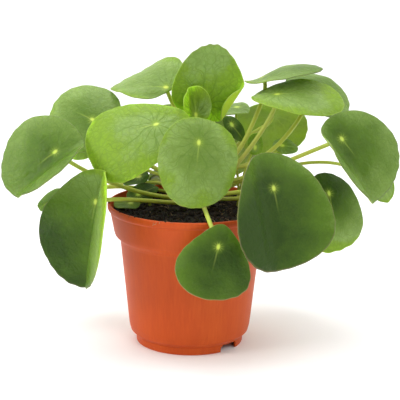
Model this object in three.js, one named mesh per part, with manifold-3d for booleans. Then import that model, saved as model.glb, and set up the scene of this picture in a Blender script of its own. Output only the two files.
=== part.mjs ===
// Potted Chinese money plant (Pilea peperomioides) in a plastic nursery pot.
// Millimetres, +Z up. The origin is the centre of the pot's base and -Y is the front.
import * as THREE from 'three';
import { mergeVertices } from 'three/addons/utils/BufferGeometryUtils.js';
import Module from 'manifold-3d';

const wasm = await Module();
wasm.setup();

// Driving dimensions.
const POT_HEIGHT = 103;
const RIM_RADIUS = 60;
const WALL = 1.3;
const FOOT_RADIUS = 38.6;
const FOOT_HEIGHT = 6.5;
const FLOOR = 1.5;
const CENTRE_PAD_RADIUS = 13;
const COLLAR_BOTTOM = 80;
const SOIL_LEVEL = 97;
const SOIL_MOUND = 1.2;
const CLEARANCE = 0.3;
const BLADE_THICKNESS = 0.9;
const PETIOLE_RADIUS = 1.6;
const STEM_RADIUS = 3.6;
const LATHE_SIDES = 36;

const orange = new THREE.MeshStandardMaterial({ color: 0xc8552d, roughness: 0.45, metalness: 0 });
const peat = new THREE.MeshStandardMaterial({ color: 0x2a1f19, roughness: 0.95, metalness: 0 });
const bark = new THREE.MeshStandardMaterial({ color: 0x8a7a3c, roughness: 0.7, metalness: 0 });
const stalkGreen = new THREE.MeshStandardMaterial({ color: 0xa9b04a, roughness: 0.5, metalness: 0 });
const leafGreen = new THREE.MeshStandardMaterial({ color: 0x5d8a38, roughness: 0.4, metalness: 0 });
const youngGreen = new THREE.MeshStandardMaterial({ color: 0x7fa83a, roughness: 0.4, metalness: 0 });

const group = new THREE.Group();
const degrees = THREE.MathUtils.degToRad;

function addMesh(name, geometry, material) {
  const mesh = new THREE.Mesh(geometry, material);
  mesh.name = name;
  group.add(mesh);
  return mesh;
}

// ---------------------------------------------------------------- solids

function toSolid(geometry) {
  const bare = geometry.clone();
  bare.deleteAttribute('normal');
  bare.deleteAttribute('uv');
  const merged = mergeVertices(bare, 1e-4);
  const vertProperties = new Float32Array(merged.attributes.position.array);
  const triVerts = new Uint32Array(merged.index.array);
  return new wasm.Manifold(new wasm.Mesh({ numProp: 3, vertProperties, triVerts }));
}

function toGeometry(solid) {
  const mesh = solid.getMesh();
  const geometry = new THREE.BufferGeometry();
  geometry.setAttribute('position', new THREE.BufferAttribute(mesh.vertProperties, 3));
  geometry.setIndex(new THREE.BufferAttribute(mesh.triVerts, 1));
  return geometry;
}

function lathe(profile) {
  const points = profile.map(([radius, z]) => new THREE.Vector2(radius, z));
  return new THREE.LatheGeometry(points, LATHE_SIDES).rotateX(Math.PI / 2);
}

function uprightRod(radius, bottom, top, [x, y], sides) {
  const rod = new THREE.CylinderGeometry(radius, radius, top - bottom, sides).rotateX(Math.PI / 2);
  return rod.translate(x, y, (top + bottom) / 2);
}

// A smooth curve that starts and ends at its first and last points and is pulled by the others.
class PulledCurve extends THREE.Curve {
  constructor(points) {
    super();
    this.points = points;
  }

  getPoint(t, target = new THREE.Vector3()) {
    let row = this.points.map((point) => point.clone());
    while (row.length > 1) {
      row = row.slice(1).map((point, i) => row[i].clone().lerp(point, t));
    }
    return target.copy(row[0]);
  }
}

function rodAlong(curve, radius, sides, steps) {
  const corners = [];
  for (let i = 0; i < sides; i += 1) {
    const angle = (2 * Math.PI * i) / sides;
    corners.push(new THREE.Vector2(radius * Math.cos(angle), radius * Math.sin(angle)));
  }
  const options = { steps, bevelEnabled: false, extrudePath: curve };
  return new THREE.ExtrudeGeometry(new THREE.Shape(corners), options);
}

// ---------------------------------------------------------------- pot and soil

// Outer wall from the foot to the rim: a foot ring, a step, a tapered body, a collar and a lip.
const outerWall = [
  [FOOT_RADIUS, 0],
  [FOOT_RADIUS + 0.4, FOOT_HEIGHT - 1],
  [FOOT_RADIUS + 2, FOOT_HEIGHT + 0.3],
  [FOOT_RADIUS + 4.2, FOOT_HEIGHT + 2.4],
  [FOOT_RADIUS + 5.4, FOOT_HEIGHT + 7],
  [RIM_RADIUS - 9.3, COLLAR_BOTTOM - 4.6],
  [RIM_RADIUS - 8.4, COLLAR_BOTTOM - 2.6],
  [RIM_RADIUS - 5.6, COLLAR_BOTTOM],
  [RIM_RADIUS - 4.8, COLLAR_BOTTOM + 2.2],
  [RIM_RADIUS - 1.9, POT_HEIGHT - 5.6],
  [RIM_RADIUS - 0.4, POT_HEIGHT - 4.4],
  [RIM_RADIUS, POT_HEIGHT - 3],
  [RIM_RADIUS, POT_HEIGHT - 0.8],
  [RIM_RADIUS - 0.7, POT_HEIGHT],
];

// Inner wall from the rim down to the raised floor, and the floor down to the centre pad.
const innerWall = [
  [RIM_RADIUS - 1.9, POT_HEIGHT],
  [RIM_RADIUS - 3.3, POT_HEIGHT - 5.6],
  [RIM_RADIUS - 4.8 - WALL, COLLAR_BOTTOM + 2.6],
  [RIM_RADIUS - 5.6 - WALL, COLLAR_BOTTOM + 0.8],
  [RIM_RADIUS - 8.4 - WALL, COLLAR_BOTTOM - 2],
  [RIM_RADIUS - 9.3 - WALL, COLLAR_BOTTOM - 4.2],
  [FOOT_RADIUS + 5.4 - WALL, FOOT_HEIGHT + 7.2],
  [FOOT_RADIUS + 3.1, FOOT_HEIGHT + 3.4],
  [FOOT_RADIUS, FOOT_HEIGHT + FLOOR],
  [CENTRE_PAD_RADIUS + 7.6, FOOT_HEIGHT + FLOOR],
  [CENTRE_PAD_RADIUS + 1.2, FLOOR],
];

const underFloor = [
  [CENTRE_PAD_RADIUS, 0],
  [CENTRE_PAD_RADIUS + 6.6, FOOT_HEIGHT],
  [FOOT_RADIUS - WALL, FOOT_HEIGHT],
  [FOOT_RADIUS - WALL, 0],
];

const NOTCH_WIDTH = 16;
const NOTCH_DEPTH = 10;
const NOTCH_AZIMUTHS = [48, 228];
const DRAIN_HOLES = 6;
const DRAIN_RADIUS = 2.6;
const DRAIN_CIRCLE = 29;

function makePot() {
  const profile = [[0, 0], ...underFloor, ...outerWall, ...innerWall, [0, FLOOR]];
  let pot = toSolid(lathe(profile));
  for (const azimuth of NOTCH_AZIMUTHS) {
    const notch = new THREE.BoxGeometry(NOTCH_WIDTH, NOTCH_DEPTH, 2 * FOOT_HEIGHT - 2.4);
    notch.translate(0, -FOOT_RADIUS, 0).rotateZ(degrees(azimuth));
    pot = pot.subtract(toSolid(notch));
  }
  for (let i = 0; i < DRAIN_HOLES; i += 1) {
    const angle = (2 * Math.PI * i) / DRAIN_HOLES;
    const centre = [DRAIN_CIRCLE * Math.cos(angle), DRAIN_CIRCLE * Math.sin(angle)];
    const hole = uprightRod(DRAIN_RADIUS, FOOT_HEIGHT - 1, FOOT_HEIGHT + FLOOR + 1, centre, 12);
    pot = pot.subtract(toSolid(hole));
  }
  return toGeometry(pot);
}

// The root ball fills the pot up to a crumbly, slightly mounded top.
function makeSoil(plugs) {
  const cavity = innerWall
    .filter(([, z]) => z < SOIL_LEVEL)
    .reverse()
    .map(([radius, z]) => [radius - CLEARANCE, z + (z < 2 * FOOT_HEIGHT ? CLEARANCE : 0)]);
  const rimRadius = RIM_RADIUS - 3.6 - CLEARANCE;
  const shares = [1, 0.75, 0.5, 0.25];
  const top = shares.map((share) => [rimRadius * share, SOIL_LEVEL + SOIL_MOUND * (1 - share)]);
  const geometry = lathe([[0, FLOOR + CLEARANCE], ...cavity, ...top, [0, SOIL_LEVEL + SOIL_MOUND]]);
  const position = geometry.attributes.position;
  for (let i = 0; i < position.count; i += 1) {
    const [x, y, z] = [position.getX(i), position.getY(i), position.getZ(i)];
    const lumps = Math.sin(0.21 * x + 1.3) * Math.cos(0.27 * y) + 0.5 * Math.sin(0.47 * x - 0.39 * y);
    position.setZ(i, z > SOIL_LEVEL - 1 ? z + 0.7 * lumps : z);
  }
  let soil = toSolid(geometry);
  for (const plug of plugs) {
    soil = soil.subtract(toSolid(plug));
  }
  return toGeometry(soil);
}

// ---------------------------------------------------------------- leaves

// Directions of a leaf: azimuth 0 faces the front and 90 faces +X, rise is the upper face's angle
// above the horizon, and spin turns the tip away from the line straight down the slope.
function leafAxes([azimuth, rise, spin]) {
  const a = degrees(azimuth);
  const e = degrees(rise);
  const s = degrees(spin);
  const level = new THREE.Vector3(Math.sin(a), -Math.cos(a), 0);
  const up = new THREE.Vector3(0, 0, 1);
  const normal = level.clone().multiplyScalar(Math.cos(e)).addScaledVector(up, Math.sin(e));
  const down = level.clone().multiplyScalar(Math.sin(e)).addScaledVector(up, -Math.cos(e));
  const side = normal.clone().cross(down);
  const tip = down.multiplyScalar(Math.cos(s)).addScaledVector(side, Math.sin(s));
  const across = tip.clone().cross(normal);
  return { across, tip, normal };
}

// One arm of an arc: how far out and how far down a point lies after an arc length s.
function arc(s, turnPerMm) {
  if (Math.abs(turnPerMm) < 1e-7) {
    return [s, 0];
  }
  return [Math.sin(turnPerMm * s) / turnPerMm, (1 - Math.cos(turnPerMm * s)) / turnPerMm];
}

// Rolls the margin on one side over the upper face: curl holds the side's direction from the tip,
// how far from the hub the roll starts, its radius and its angle. Returns the flat place and rise.
function curled(leaf, u, v) {
  if (!leaf.curl) {
    return [u, v, 0];
  }
  const [direction, start, radius, angle] = leaf.curl;
  const [du, dv] = [Math.sin(degrees(direction)), Math.cos(degrees(direction))];
  const past = Math.max(0, u * du + v * dv - start);
  const turn = Math.min(past / radius, degrees(angle));
  const straight = past - turn * radius;
  const out = radius * Math.sin(turn) + straight * Math.cos(turn);
  const rise = radius * (1 - Math.cos(turn)) + straight * Math.sin(turn);
  return [u + du * (out - past), v + dv * (out - past), rise];
}

// A point of the blade's middle surface, with x across, y to the tip and z up from the hub.
// It is an oval round a hub set back from the middle, folded along the midrib and drooped.
function bladePoint(leaf, rho, theta) {
  const half = leaf.length / 2;
  const halfWidth = leaf.width / 2;
  const offset = leaf.hub * half;
  const [droopLeft, droopRight, droopTip, droopBase] = leaf.droop;
  const [foldLeft, foldRight] = leaf.fold ?? [0, 0];
  const squareness = (leaf.square ?? 0.03) * Math.sin(2 * theta) ** 2;
  const wobble = 1 + 0.012 * Math.sin(3 * theta) + 0.008 * Math.sin(5 * theta) + squareness;
  const taper = 1 - (leaf.taper ?? 0.06) * Math.cos(theta);
  const flatU = rho * halfWidth * ((leaf.lean ?? 0) + Math.sin(theta) * taper * wobble);
  const flatV = rho * (offset + half * Math.cos(theta) * wobble);
  const [u, v, rise] = curled(leaf, flatU, flatV);

  const turnAcross = degrees(u < 0 ? droopLeft : droopRight) / halfWidth;
  const [flatOut, flatDown] = arc(Math.abs(u), turnAcross);
  const creased = THREE.MathUtils.smoothstep(Math.abs(u) - 2, 0, leaf.crease ?? 9);
  const fold = degrees(u < 0 ? foldLeft : foldRight) * creased;
  const out = flatOut * Math.cos(fold) - flatDown * Math.sin(fold);
  const dip = flatOut * Math.sin(fold) + flatDown * Math.cos(fold);

  const reach = v < 0 ? half - offset : half + offset;
  const turnAlong = degrees(v < 0 ? droopBase : droopTip) / reach;
  const [along, sag] = arc(Math.abs(v), turnAlong);
  const lean = turnAlong * Math.abs(v);
  const ripple = rho ** 3 * Math.sin(3 * theta);
  const x = Math.sign(u) * out;
  const y = Math.sign(v) * (along - dip * Math.sin(lean));
  const z = rise + ripple - sag - dip * Math.cos(lean);
  const twist = (degrees(leaf.twist ?? 0) * v) / half;
  return [
    x * Math.cos(twist) + z * Math.sin(twist),
    y,
    z * Math.cos(twist) - x * Math.sin(twist),
  ];
}

// A closed blade: the middle surface pushed out to an upper and a lower skin, split alike.
function bladeGeometry(leaf, sides, rings) {
  const points = [0, 0, 0];
  for (const rho of rings) {
    for (let i = 0; i < sides; i += 1) {
      points.push(...bladePoint(leaf, rho, (2 * Math.PI * i) / sides));
    }
  }
  const faces = [];
  for (let i = 0; i < sides; i += 1) {
    const next = (i + 1) % sides;
    faces.push([0, 1 + next, 1 + i]);
    for (let ring = 0; ring + 1 < rings.length; ring += 1) {
      const inner = 1 + ring * sides;
      const outer = inner + sides;
      faces.push([inner + i, inner + next, outer + next]);
      faces.push([inner + i, outer + next, outer + i]);
    }
  }
  const middle = new THREE.BufferGeometry();
  middle.setAttribute('position', new THREE.Float32BufferAttribute(points, 3));
  middle.setIndex(faces.flat());
  middle.computeVertexNormals();

  const count = points.length / 3;
  const normals = middle.attributes.normal.array;
  const upper = points.map((value, i) => value + (normals[i] * BLADE_THICKNESS) / 2);
  const lower = points.map((value, i) => value - (normals[i] * BLADE_THICKNESS) / 2);
  const skin = faces.flat();
  for (const [a, b, c] of faces) {
    skin.push(count + a, count + c, count + b);
  }
  const rim = count - sides;
  for (let i = 0; i < sides; i += 1) {
    const a = rim + i;
    const b = rim + ((i + 1) % sides);
    skin.push(a, b, count + b, a, count + b, count + a);
  }
  const blade = new THREE.BufferGeometry();
  blade.setAttribute('position', new THREE.Float32BufferAttribute([...upper, ...lower], 3));
  blade.setIndex(skin);
  return blade;
}

function leafMatrix(leaf) {
  const { across, tip, normal } = leafAxes(leaf.face);
  return new THREE.Matrix4().makeBasis(across, tip, normal).setPosition(...leaf.at);
}

// The main stem stands in the soil, rises and leans to +X.
const STEM_FOOT = new THREE.Vector3(10, 2, 84);
const STEM = new PulledCurve([
  STEM_FOOT,
  new THREE.Vector3(10, 2, 100),
  new THREE.Vector3(10, 2, 108),
  new THREE.Vector3(17, 3, 118),
  new THREE.Vector3(26, 4, 130),
  new THREE.Vector3(26, 5, 148),
]);

// A petiole leaves the stem square to it and meets the blade's underside square to the hub.
function petioleCurve(leaf) {
  const pulls = leaf.pulls.map((pull) => new THREE.Vector3(...pull));
  const root = STEM.getPoint(leaf.root);
  const grain = STEM.getTangent(leaf.root);
  const outward = pulls[0].clone().sub(root);
  outward.addScaledVector(grain, -outward.dot(grain)).normalize();
  const start = root.addScaledVector(outward, STEM_RADIUS + CLEARANCE);
  const { normal } = leafAxes(leaf.face);
  const hub = new THREE.Vector3(...leaf.at);
  const end = hub.clone().addScaledVector(normal, -(BLADE_THICKNESS / 2 + CLEARANCE));
  const approach = hub.clone().addScaledVector(normal, -(leaf.reach ?? 13));
  return new PulledCurve([start, start.clone().addScaledVector(outward, 5), ...pulls, approach, end]);
}

// Each leaf by hand: at is its hub, root its share of the way up the stem, pulls what its petiole
// bends towards, and droop and fold the degrees that its left, right, tip and base turn down.
// lean sets the blade to one side, taper narrows its tip and square fills out its corners.
const LEAVES = [
  { name: 'far_left', at: [-96, -18, 143], face: [-18, 28, -46], length: 66, width: 68, hub: 0.34,
    lean: 0.04, taper: 0.1, square: -0.04, fold: [-40, 0], crease: 18, droop: [0, 5, 12, 15],
    root: 0.33, pulls: [[-30, -5, 101], [-62, -12, 118]] },
  { name: 'rear_left', at: [-72.5, 28, 157.5], face: [-15, 38, -112], length: 58, width: 57, hub: 0.36,
    droop: [15, 20, 25, 20], root: 0.53, pulls: [[-10, 8, 110], [-42, 24, 128]] },
  { name: 'mid_left', at: [-25, -20, 164], face: [-10, 45, -70], length: 78, width: 58, hub: 0.38,
    lean: -0.12, taper: -0.38, droop: [20, 15, 25, 10], root: 0.61, pulls: [[-6, -6, 138]] },
  { name: 'upper_left', at: [-19, 22, 183], face: [-15, 45, -90], length: 58, width: 48, hub: 0.6,
    lean: 0.5, taper: 0.05, square: -0.08, fold: [20, 0], droop: [-45, 10, 15, 14], twist: 25,
    root: 0.74, pulls: [[-8, 26, 152]] },
  { name: 'crown', at: [10, 12, 172], face: [-5, 0, 176], length: 56, width: 51, hub: 0.6,
    lean: 0.06, taper: 0.3, curl: [118, 12.8, 2.2, 150], droop: [-10, -5, -5, 0],
    root: 0.93, pulls: [[16, 20, 158]], young: true },
  { name: 'crown_small', at: [3, 4, 166.5], face: [0, 10, 185], length: 26, width: 24, hub: 0.6,
    fold: [-38, -8], crease: 5, droop: [-15, -15, -15, 0],
    root: 0.86, pulls: [[8, 7, 150]], young: true, reach: 8 },
  { name: 'front', at: [5, -45, 156.5], face: [0, 22, -4], length: 63, width: 55, hub: 0.44,
    droop: [12, 12, 12, 12], root: 0.64, pulls: [[12, -14, 138]] },
  { name: 'low_left', at: [-66.5, -38, 112], face: [-15, 14, -6], length: 84, width: 78, hub: 0.46,
    taper: -0.1, square: -0.06, fold: [-55, 0], crease: 4, droop: [-8, 2, 12, 10],
    root: 0.26, pulls: [[-30, -18, 106], [-55, -26, 116]] },
  { name: 'over_rim', at: [19, -72, 90], face: [-5, 15, -12], length: 53, width: 50, hub: 0.4,
    taper: -0.42, square: -0.03, droop: [10, 15, 10, 20], root: 0.3, reach: 5,
    pulls: [[6, -34, 112], [9, -61, 118], [14, -67, 105]] },
  { name: 'low_right', at: [56, -66, 130], face: [12, 18, 8], length: 81, width: 74, hub: 0.38,
    lean: -0.02, taper: -0.3, fold: [0, -26], crease: 18, droop: [10, 0, 10, 15],
    root: 0.44, pulls: [[30, -22, 114], [42, -40, 124]] },
  { name: 'side_right', at: [99, -5, 112], face: [25, 20, 4], length: 58, width: 50, hub: 0.46,
    taper: -0.25, square: 0.05, droop: [15, 15, 15, 15], root: 0.36, pulls: [[45, 0, 108]] },
  { name: 'far_right', at: [105, -24, 156], face: [18, 22, 34], length: 68, width: 68, hub: 0.5,
    lean: -0.1, taper: -0.1, square: 0, fold: [0, -42], crease: 22, droop: [20, -5, 15, 0],
    root: 0.6, pulls: [[45, 2, 122], [75, -4, 139]] },
  { name: 'upper_right', at: [60.5, 4, 182], face: [-25, 75, 112], length: 68, width: 46, hub: 0.46,
    droop: [10, 10, 32, 5], twist: 14, root: 0.7, pulls: [[38, 0, 138], [50, 3, 155]] },
  { name: 'top_right', at: [51, 26, 190.5], face: [262, 60, 180], length: 58, width: 40, hub: 0.55,
    taper: -0.1, droop: [14, 14, 42, -30], twist: 4, root: 0.84, pulls: [[40, 10, 148], [47, 18, 168]] },
  { name: 'rear_right', at: [91, 46, 180], face: [40, 60, 20], length: 52, width: 53, hub: 0.18,
    droop: [15, 15, 20, 15], root: 0.76, pulls: [[60, 6, 128], [80, 30, 156]] },
  { name: 'mid_right', at: [60, 64, 155], face: [180, 32, 0], length: 54, width: 56, hub: 0.4,
    droop: [15, 15, 15, 15], root: 0.8, pulls: [[33, 27, 144], [47, 43, 149]] },
  { name: 'inner_right', at: [33, 40, 165.5], face: [0, 80, -80], length: 28, width: 26, hub: 0.3,
    droop: [10, 10, 10, 10], root: 0.9, pulls: [[30, 26, 152]], small: true },
  { name: 'under_left', at: [-99, 24, 99.5], face: [-30, 20, -55], length: 28, width: 15, hub: 0.3,
    square: -0.05, droop: [10, 10, 10, 10],
    root: 0.29, pulls: [[-20, 22, 107], [-60, 34, 118]], small: true },
  { name: 'inner_left', at: [-76, 48, 142], face: [-20, 30, -60], length: 36, width: 34, hub: 0.3,
    droop: [10, 10, 10, 10], root: 0.46, pulls: [[-24, 19, 114], [-55, 45, 122]], small: true },
  { name: 'under_right', at: [139, 25, 114], face: [30, 25, 20], length: 24, width: 22, hub: 0.35,
    droop: [10, 10, 10, 10], root: 0.52, pulls: [[50, 8, 120], [105, 16, 160]], small: true },
  { name: 'back_left', at: [-30, 70, 152], face: [205, 45, 0], length: 60, width: 58, hub: 0.4,
    droop: [20, 15, 20, 15], root: 0.66, pulls: [[2, 30, 134]] },
  { name: 'back_middle', at: [25, 92, 138], face: [165, 35, 10], length: 64, width: 58, hub: 0.4,
    droop: [15, 25, 20, 15], root: 0.56, pulls: [[20, 35, 122], [22, 60, 130]] },
  { name: 'back_low_left', at: [-82, 62, 96], face: [230, 20, -10], length: 50, width: 46, hub: 0.4,
    droop: [15, 15, 20, 20], root: 0.38, pulls: [[-12, 28, 107], [-50, 46, 122]], small: true },
  { name: 'back_low_right', at: [78, 72, 104], face: [130, 20, 10], length: 60, width: 56, hub: 0.4,
    droop: [20, 15, 20, 15], root: 0.42, pulls: [[35, 26, 112], [58, 54, 120]], small: true },
  { name: 'back_low', at: [5, 85, 112], face: [190, 15, 0], length: 56, width: 54, hub: 0.4,
    droop: [15, 15, 10, 15], root: 0.36, pulls: [[8, 40, 112]], small: true },
];

const LARGE = { sides: 20, rings: [0.09, 0.4, 0.72, 1] };
const SMALL = { sides: 16, rings: [0.12, 0.56, 1] };
const TINY = { sides: 12, rings: [0.55, 1] };
const CURLED = { sides: 24, rings: [0.09, 0.4, 0.6, 0.74, 0.87, 1] };

for (const leaf of LEAVES) {
  let split = leaf.small || leaf.length < 30 ? SMALL : LARGE;
  split = leaf.curl ? CURLED : split;
  const geometry = bladeGeometry(leaf, split.sides, split.rings);
  const blade = addMesh(`blade_${leaf.name}`, geometry, leaf.young ? youngGreen : leafGreen);
  blade.applyMatrix4(leafMatrix(leaf));
  const radius = PETIOLE_RADIUS * (leaf.small || leaf.young ? 0.8 : 1);
  addMesh(`petiole_${leaf.name}`, rodAlong(petioleCurve(leaf), radius, 6, 10), stalkGreen);
}

// ---------------------------------------------------------------- young shoots

// Each shoot is one body: a short stalk with small leaves, each on a thin petiole sunk into both.
const TWIG_RADIUS = 0.9;
const SHOOT_RADIUS = 1.6;
const SHOOTS = [
  { name: 'shoot_left', foot: [-30, 13, 86], tip: [-30, 13, 103], leaves: [
    { at: [-38, 4, 107.5], face: [20, 40, 110], length: 26, width: 14, hub: 0.3, droop: [10, 10, 10, 10] },
    { at: [-38, 15, 118], face: [-20, 50, -75], length: 21, width: 14, hub: 0.3, droop: [10, 10, 10, 10] },
    { at: [-43, -9, 104], face: [-20, 60, -85], length: 20, width: 11, hub: 0.3, droop: [10, 10, 10, 10] },
  ] },
  { name: 'shoot_back', foot: [-12, 44, 86], tip: [-12, 45, 103], leaves: [
    { at: [-20, 58, 112], face: [200, 45, 10], length: 26, width: 23, hub: 0.3, droop: [10, 10, 10, 10] },
    { at: [-2, 60, 109], face: [160, 40, -10], length: 20, width: 18, hub: 0.3, droop: [10, 10, 10, 10] },
    { at: [-25, 46, 113], face: [240, 55, 0], length: 15, width: 13, hub: 0.3, droop: [10, 10, 10, 10] },
  ] },
  { name: 'shoot_right', foot: [34, 12, 86], tip: [35, 12, 106], leaves: [
    { at: [46, 14, 141], face: [10, 20, 175], length: 16, width: 12, hub: 0.3, droop: [-10, -10, 0, 0] },
    { at: [66, 24, 140.5], face: [20, 45, 80], length: 20, width: 13, hub: 0.3, droop: [10, 10, 10, 10] },
    { at: [29, 17, 157], face: [10, 25, 35], length: 22, width: 12, hub: 0.3, droop: [10, 10, 10, 10] },
  ] },
];

function shootCurve(shoot, sink = 0) {
  const foot = new THREE.Vector3(...shoot.foot);
  foot.z -= sink;
  return new PulledCurve([foot, new THREE.Vector3(...shoot.tip)]);
}

function makeShoot(shoot) {
  let solid = toSolid(rodAlong(shootCurve(shoot), SHOOT_RADIUS, 8, 2));
  const tip = new THREE.Vector3(...shoot.tip);
  for (const leaf of shoot.leaves) {
    const blade = bladeGeometry(leaf, TINY.sides, TINY.rings).applyMatrix4(leafMatrix(leaf));
    const { normal } = leafAxes(leaf.face);
    const hub = new THREE.Vector3(...leaf.at);
    const root = tip.clone().setZ(tip.z - 1.2);
    const middle = tip.clone().lerp(hub, 0.3).setZ(0.4 * tip.z + 0.6 * hub.z);
    const approach = hub.clone().addScaledVector(normal, -6);
    const twig = rodAlong(new PulledCurve([root, middle, approach, hub]), TWIG_RADIUS, 5, 6);
    solid = solid.add(toSolid(twig)).add(toSolid(blade));
  }
  return toGeometry(solid);
}

// What stands in the soil leaves a hole of its own shape with a little room round it.
const stemHole = rodAlong(STEM, STEM_RADIUS + CLEARANCE, 8, 14);
const holeRadius = STEM_RADIUS + 2 * CLEARANCE;
const stemHoleFloor = uprightRod(holeRadius, STEM_FOOT.z - CLEARANCE, STEM_FOOT.z + 2, [10, 2], 8);
const plugs = [stemHole, stemHoleFloor];
for (const shoot of SHOOTS) {
  addMesh(shoot.name, makeShoot(shoot), youngGreen);
  plugs.push(rodAlong(shootCurve(shoot, CLEARANCE), SHOOT_RADIUS + CLEARANCE, 8, 2));
}

addMesh('main_stem', rodAlong(STEM, STEM_RADIUS, 8, 14), bark);
addMesh('soil_root_ball', makeSoil(plugs), peat);
addMesh('pot', makePot(), orange);

export default group;
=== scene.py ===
"""The looks of a Chinese money plant in a plastic nursery pot.

Lengths in the tables are millimetres in the frame of the CAD model: +Z up, the front towards -Y,
and the origin at the middle of the pot's base. mesh_object() turns them into metres.
"""

from math import atan2, cos, hypot, pi, radians, sin, sqrt
from types import SimpleNamespace

import bmesh
import bpy
import numpy as np
from mathutils import Matrix, Vector, noise


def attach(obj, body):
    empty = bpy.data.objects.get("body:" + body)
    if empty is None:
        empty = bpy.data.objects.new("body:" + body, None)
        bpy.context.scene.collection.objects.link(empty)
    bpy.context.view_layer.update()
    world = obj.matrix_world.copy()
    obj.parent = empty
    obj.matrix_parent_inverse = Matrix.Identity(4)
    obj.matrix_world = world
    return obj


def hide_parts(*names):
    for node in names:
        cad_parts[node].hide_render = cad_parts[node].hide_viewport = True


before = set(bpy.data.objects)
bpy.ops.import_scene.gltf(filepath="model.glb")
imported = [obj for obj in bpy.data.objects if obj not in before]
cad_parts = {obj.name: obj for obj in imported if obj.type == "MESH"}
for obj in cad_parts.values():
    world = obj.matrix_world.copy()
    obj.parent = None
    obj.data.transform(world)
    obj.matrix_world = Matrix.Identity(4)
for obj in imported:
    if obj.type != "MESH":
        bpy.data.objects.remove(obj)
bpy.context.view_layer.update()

MM = 0.001
SEED = 7

# ---- sizes of the pot and the soil

POT_HEIGHT = 103
RIM_RADIUS = 60
WALL = 1.3
FOOT_RADIUS = 38.6
FOOT_HEIGHT = 6.5
FLOOR = 1.5
CENTRE_PAD_RADIUS = 13
COLLAR_BOTTOM = 80
SOIL_LEVEL = 97
NOTCH_WIDTH = 16
NOTCH_DEPTH = 10
NOTCH_SPAN = 2 * FOOT_HEIGHT - 2.4
NOTCH_AZIMUTHS = (48, 228)
DRAIN_HOLES = 6
DRAIN_RADIUS = 2.6
DRAIN_CIRCLE = 29


def near(radius, height, *offsets):
    """Points of a wall, given as how far out and up they are from a radius and a height."""
    return [(radius + out, height + up) for out, up in offsets]


# the pot's profile as radius and height: up the outside, down the inside, and along the underside
OUTER_WALL = (
    *near(FOOT_RADIUS, 0, (0, 0)),
    *near(FOOT_RADIUS, FOOT_HEIGHT, (0.4, -1), (2, 0.3), (4.2, 2.4), (5.4, 7)),
    *near(RIM_RADIUS, COLLAR_BOTTOM, (-9.3, -4.6), (-8.4, -2.6), (-5.6, 0), (-4.8, 2.2)),
    *near(RIM_RADIUS, POT_HEIGHT, (-1.9, -5.6), (-0.4, -4.4), (0, -3), (0, -0.8), (-0.7, 0)),
)
INNER_WALL = (
    *near(RIM_RADIUS, POT_HEIGHT, (-1.9, 0), (-3.3, -5.6)),
    *near(RIM_RADIUS - WALL, COLLAR_BOTTOM, (-4.8, 2.6), (-5.6, 0.8), (-8.4, -2), (-9.3, -4.2)),
    *near(FOOT_RADIUS, FOOT_HEIGHT, (5.4 - WALL, 7.2), (3.1, 3.4), (0, FLOOR)),
    *near(CENTRE_PAD_RADIUS, FLOOR, (7.6, FOOT_HEIGHT), (1.2, 0)),
)
UNDER_FLOOR = (
    *near(CENTRE_PAD_RADIUS, 0, (0, 0), (6.6, FOOT_HEIGHT)),
    *near(FOOT_RADIUS - WALL, 0, (0, FOOT_HEIGHT), (0, 0)),
)

# ---- leaves

BLADE_THICKNESS = 0.9
PETIOLE_RADIUS = 1.6
STEM_RADIUS = 3.6
STEM_PULLS = ((10, 2, 84), (10, 2, 100), (10, 2, 108), (17, 3, 118), (26, 4, 130), (26, 5, 148))

PLAIN_LEAF = dict(hub=0.4, lean=0, taper=0.06, square=0.03, fold=(0, 0), crease=9, curl=None,
                  droop=(10, 10, 10, 10), twist=0, reach=13, small=False, young=False,
                  lighter=(0, 0), dry=0, brown=0.12)


def row(at, face, length, width, **others):
    """A leaf with its hub at a place, and the azimuth, rise and spin of its upper face."""
    return dict(PLAIN_LEAF, at=at, face=face, length=length, width=width, **others)


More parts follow.
